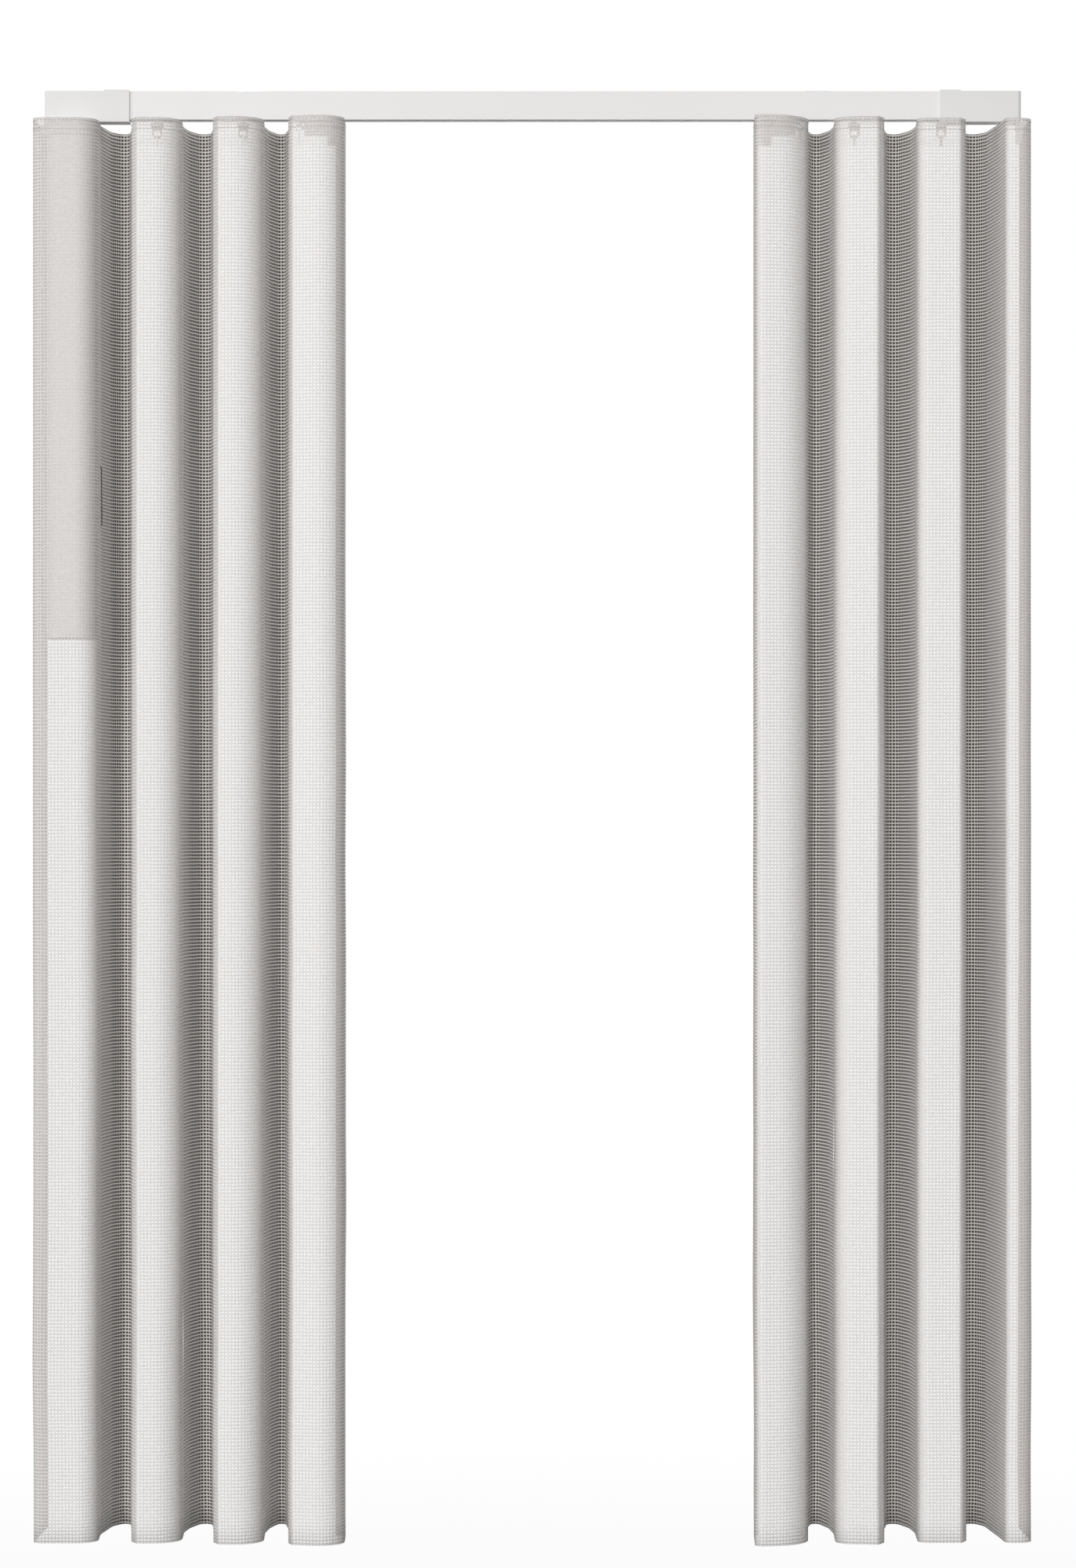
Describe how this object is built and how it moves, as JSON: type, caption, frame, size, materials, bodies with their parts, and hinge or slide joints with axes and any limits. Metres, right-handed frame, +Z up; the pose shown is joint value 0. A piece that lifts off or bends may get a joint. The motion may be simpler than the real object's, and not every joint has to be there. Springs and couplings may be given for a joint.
{
  "type": "motorised curtain track",
  "caption": "Slim white motorised curtain track with a hanging tube motor at one end, belt drive, rolling carriers and a pair of open sheer panels in round folds.",
  "frame": {"origin": "middle of the track on the ceiling plane it is screwed to", "axes": "+X along the track away from the motor, -Y towards the room, +Z up"},
  "size_m": [1.2155, 0.171, 1.777],
  "materials": {
    "white_metal": "satin white powder coat",
    "white_plastic": "satin moulded plastic",
    "motor_white": "satin white tube",
    "carrier_plastic": "moulded plastic",
    "wheel_plastic": "turned plastic",
    "pulley_plastic": "moulded plastic",
    "dark_plastic": "moulded plastic",
    "steel": "plain steel",
    "steel_wire": "bright wire",
    "bronze": "sintered bronze",
    "belt_rubber": "moulded belt",
    "cell_wrap": "shrink wrap",
    "board": "solder mask",
    "wire_white": "wire insulation",
    "sheer": "open plain weave sheer"
  },
  "bodies": {
    "track_frame": {"track_rail": "white_metal", "ceiling_clips": "steel", "drive_housing": "white_plastic", "drive_cover": "white_plastic", "idler_housing": "white_plastic", "idler_cover": "white_plastic", "drive_belt": "belt_rubber", "shaft_bearing": "bronze", "idler_axle": "steel", "idler_yoke": "steel", "tension_screw": "steel", "motor_collar": "white_plastic", "motor_case": "motor_white", "motor_top_cap": "dark_plastic", "motor_bottom_cap": "white_plastic", "gearbox_case": "dark_plastic", "dc_motor": "steel", "inner_chassis": "dark_plastic", "battery_cells": "cell_wrap", "control_board": "board", "charge_port": "steel", "aerial_bush": "white_plastic", "aerial_wire": "wire_white", "left_return_hook": "white_plastic", "right_return_hook": "white_plastic"},
    "drive_spindle": {"drive_pulley": "pulley_plastic", "drive_shaft": "steel"},
    "idler": {"idler_pulley": "pulley_plastic"},
    "rotor": {"motor_rotor": "steel"},
    "button": {"setting_button": "white_plastic"},
    "left_carrier_1": {"left_carrier_1": "carrier_plastic", "left_hook_1": "steel_wire", "left_panel_outer": "sheer"},
    "left_wheels_1_set": {"left_wheels_1": "wheel_plastic"},
    "left_carrier_2": {"left_carrier_2": "carrier_plastic", "left_hook_2": "steel_wire", "left_panel_middle": "sheer"},
    "left_wheels_2_set": {"left_wheels_2": "wheel_plastic"},
    "left_lead": {"left_lead_carrier": "carrier_plastic", "left_lead_hook": "steel_wire", "left_belt_clamp": "carrier_plastic", "left_panel_lead": "sheer"},
    "left_lead_wheels_outer_set": {"left_lead_wheels_outer": "wheel_plastic"},
    "left_lead_wheels_inner_set": {"left_lead_wheels_inner": "wheel_plastic"},
    "right_carrier_1": {"right_carrier_1": "carrier_plastic", "right_hook_1": "steel_wire", "right_panel_outer": "sheer"},
    "right_wheels_1_set": {"right_wheels_1": "wheel_plastic"},
    "right_carrier_2": {"right_carrier_2": "carrier_plastic", "right_hook_2": "steel_wire", "right_panel_middle": "sheer"},
    "right_wheels_2_set": {"right_wheels_2": "wheel_plastic"},
    "right_lead": {"right_lead_carrier": "carrier_plastic", "right_lead_hook": "steel_wire", "right_belt_clamp": "carrier_plastic", "right_panel_lead": "sheer"},
    "right_lead_wheels_outer_set": {"right_lead_wheels_outer": "wheel_plastic"},
    "right_lead_wheels_inner_set": {"right_lead_wheels_inner": "wheel_plastic"}
  },
  "joints": [
    {"name": "left_carrier_1_slide", "type": "slide", "parent": "track_frame", "child": "left_carrier_1", "axis": [1, 0, 0], "range_m": [0, 0.0825], "deforming": ["left_panel_outer"]},
    {"name": "left_wheels_1_spin", "type": "hinge", "parent": "left_carrier_1", "child": "left_wheels_1_set", "pos_m": [-0.4625, 0, -0.0304], "axis": [0, 1, 0], "continuous": true},
    {"name": "left_carrier_2_slide", "type": "slide", "parent": "left_carrier_1", "child": "left_carrier_2", "axis": [1, 0, 0], "range_m": [0, 0.0825], "deforming": ["left_panel_middle"]},
    {"name": "left_wheels_2_spin", "type": "hinge", "parent": "left_carrier_2", "child": "left_wheels_2_set", "pos_m": [-0.3566, 0, -0.0304], "axis": [0, 1, 0], "continuous": true},
    {"name": "left_lead_slide", "type": "slide", "parent": "left_carrier_2", "child": "left_lead", "axis": [1, 0, 0], "range_m": [0, 0.0825], "deforming": ["left_panel_lead"]},
    {"name": "left_lead_wheels_outer_spin", "type": "hinge", "parent": "left_lead", "child": "left_lead_wheels_outer_set", "pos_m": [-0.281, 0, -0.0304], "axis": [0, 1, 0], "continuous": true},
    {"name": "left_lead_wheels_inner_spin", "type": "hinge", "parent": "left_lead", "child": "left_lead_wheels_inner_set", "pos_m": [-0.253, 0, -0.0304], "axis": [0, 1, 0], "continuous": true},
    {"name": "right_carrier_1_slide", "type": "slide", "parent": "track_frame", "child": "right_carrier_1", "axis": [-1, 0, 0], "range_m": [0, 0.0825], "deforming": ["right_panel_outer"]},
    {"name": "right_wheels_1_spin", "type": "hinge", "parent": "right_carrier_1", "child": "right_wheels_1_set", "pos_m": [0.5027, 0, -0.0304], "axis": [0, -1, 0], "continuous": true},
    {"name": "right_carrier_2_slide", "type": "slide", "parent": "right_carrier_1", "child": "right_carrier_2", "axis": [-1, 0, 0], "range_m": [0, 0.0825], "deforming": ["right_panel_middle"]},
    {"name": "right_wheels_2_spin", "type": "hinge", "parent": "right_carrier_2", "child": "right_wheels_2_set", "pos_m": [0.3956, 0, -0.0304], "axis": [0, -1, 0], "continuous": true},
    {"name": "right_lead_slide", "type": "slide", "parent": "right_carrier_2", "child": "right_lead", "axis": [-1, 0, 0], "range_m": [0, 0.0825], "deforming": ["right_panel_lead"]},
    {"name": "right_lead_wheels_outer_spin", "type": "hinge", "parent": "right_lead", "child": "right_lead_wheels_outer_set", "pos_m": [0.322, 0, -0.0304], "axis": [0, -1, 0], "continuous": true},
    {"name": "right_lead_wheels_inner_spin", "type": "hinge", "parent": "right_lead", "child": "right_lead_wheels_inner_set", "pos_m": [0.294, 0, -0.0304], "axis": [0, -1, 0], "continuous": true},
    {"name": "drive_spindle_spin", "type": "hinge", "parent": "track_frame", "child": "drive_spindle", "pos_m": [-0.5674, 0, -0.01415], "axis": [0, 0, 1], "continuous": true},
    {"name": "idler_spin", "type": "hinge", "parent": "track_frame", "child": "idler", "pos_m": [0.572, 0, -0.01415], "axis": [0, 0, 1], "continuous": true},
    {"name": "rotor_spin", "type": "hinge", "parent": "track_frame", "child": "rotor", "pos_m": [-0.5674, 0, -0.1395], "axis": [0, 0, 1], "continuous": true},
    {"name": "button_press", "type": "slide", "parent": "track_frame", "child": "button", "axis": [0, 0, 1], "range_m": [0, 0.0008], "stiffness_N_per_m": 400}
  ],
  "couplings": [
    {"joint": "left_wheels_1_spin", "follows": "left_carrier_1_slide", "rad_per_m": 222.22},
    {"joint": "left_carrier_2_slide", "follows": "left_carrier_1_slide", "ratio": 1},
    {"joint": "left_wheels_2_spin", "follows": "left_carrier_1_slide", "rad_per_m": 444.44},
    {"joint": "left_lead_slide", "follows": "left_carrier_1_slide", "ratio": 1},
    {"joint": "left_lead_wheels_outer_spin", "follows": "left_carrier_1_slide", "rad_per_m": 666.67},
    {"joint": "left_lead_wheels_inner_spin", "follows": "left_carrier_1_slide", "rad_per_m": 666.67},
    {"joint": "right_carrier_1_slide", "follows": "left_carrier_1_slide", "ratio": 1},
    {"joint": "right_wheels_1_spin", "follows": "left_carrier_1_slide", "rad_per_m": 222.22},
    {"joint": "right_carrier_2_slide", "follows": "left_carrier_1_slide", "ratio": 1},
    {"joint": "right_wheels_2_spin", "follows": "left_carrier_1_slide", "rad_per_m": 444.44},
    {"joint": "right_lead_slide", "follows": "left_carrier_1_slide", "ratio": 1},
    {"joint": "right_lead_wheels_outer_spin", "follows": "left_carrier_1_slide", "rad_per_m": 666.67},
    {"joint": "right_lead_wheels_inner_spin", "follows": "left_carrier_1_slide", "rad_per_m": 666.67},
    {"joint": "drive_spindle_spin", "follows": "left_carrier_1_slide", "rad_per_m": 454.55},
    {"joint": "idler_spin", "follows": "left_carrier_1_slide", "rad_per_m": 454.55},
    {"joint": "rotor_spin", "follows": "left_carrier_1_slide", "rad_per_m": 5454.5}
  ]
}
